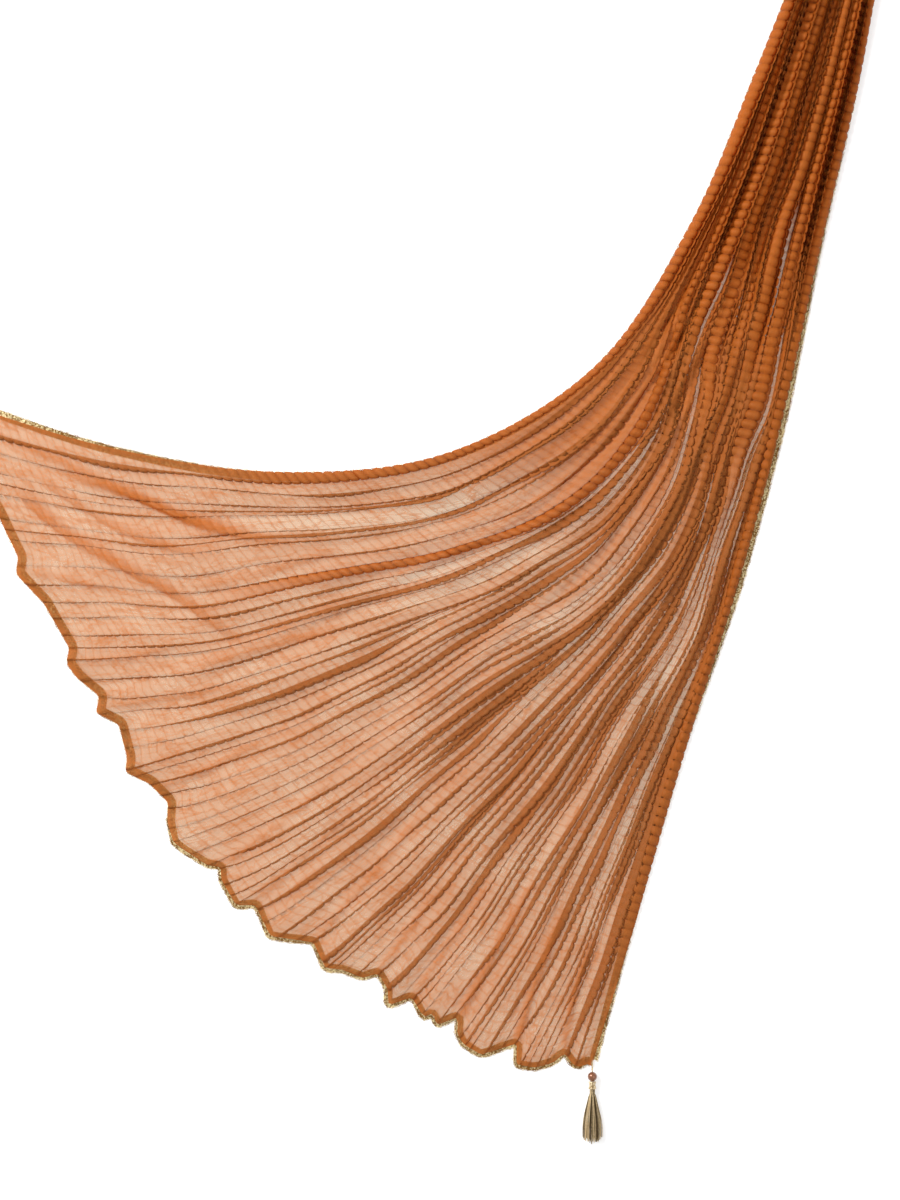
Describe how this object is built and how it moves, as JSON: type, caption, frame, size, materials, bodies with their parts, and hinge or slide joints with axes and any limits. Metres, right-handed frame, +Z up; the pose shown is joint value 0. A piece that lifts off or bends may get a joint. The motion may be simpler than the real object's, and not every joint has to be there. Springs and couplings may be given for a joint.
{
  "type": "dupatta stole",
  "caption": "Crinkled sheer dupatta stole laid flat: a fan-spread hem running into a rolled neck, gold lace edging and corner tassels.",
  "frame": {"origin": "on the surface that the stole lies on, under the middle of its whole outline", "axes": "+Z up, away from the surface; +Y along the stole, from the spread hem to the far hem; +X to the right of it, seen from above"},
  "size_m": [1.4864, 2.5256, 0.018],
  "materials": {
    "chiffon": "sheer crinkled chiffon, soft sheen",
    "gold_lace": "metallic gold yarn lace, glittering",
    "tassel_thread": "antique gold silky thread",
    "pearl": "copper brown pearl",
    "gold_cap": "polished gold tone"
  },
  "bodies": {
    "root": {"cloth_spread_hem": "chiffon", "cloth_fan": "chiffon", "cloth_neck": "chiffon", "cloth_far_half": "chiffon", "tape_left_edge": "gold_lace", "tape_right_edge": "gold_lace", "tape_spread_hem": "gold_lace", "tape_far_hem": "gold_lace", "bead_spread_right": "pearl", "cap_spread_right": "gold_cap", "skirt_spread_right": "tassel_thread", "bead_spread_left": "pearl", "cap_spread_left": "gold_cap", "skirt_spread_left": "tassel_thread", "bead_far_left": "pearl", "cap_far_left": "gold_cap", "skirt_far_left": "tassel_thread", "bead_far_right": "pearl", "cap_far_right": "gold_cap", "skirt_far_right": "tassel_thread"}
  },
  "joints": []
}
